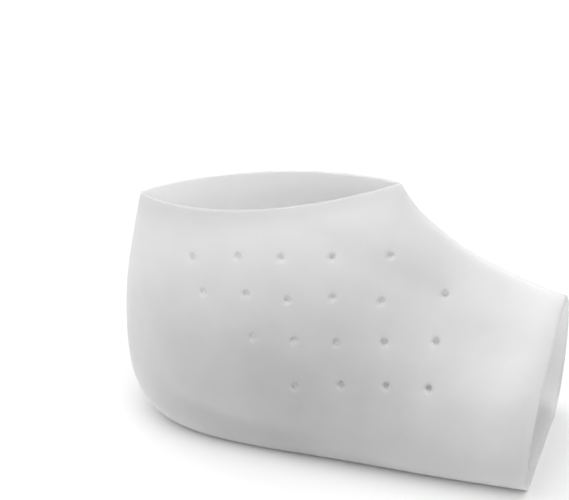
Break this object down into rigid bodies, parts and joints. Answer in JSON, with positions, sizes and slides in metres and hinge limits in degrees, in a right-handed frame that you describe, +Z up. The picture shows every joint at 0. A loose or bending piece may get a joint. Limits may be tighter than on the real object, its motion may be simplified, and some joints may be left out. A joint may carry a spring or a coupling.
{
  "type": "height-increasing heel sleeve",
  "caption": "Soft silicone heel sleeve, open at the ankle and the front, with a sole that thickens under the heel to raise the wearer and small vents through its side walls.",
  "frame": {"origin": "on the floor under the middle of the sleeve's length and width, with the flat sole at z = 0", "axes": "+X forward to the front opening, +Y to the wearer's left, +Z up out of the ankle opening"},
  "size_m": [0.122, 0.0568, 0.0757],
  "materials": {
    "silicone": "satin, milky translucent white"
  },
  "bodies": {
    "root": {"heel_sleeve": "silicone"}
  },
  "joints": []
}
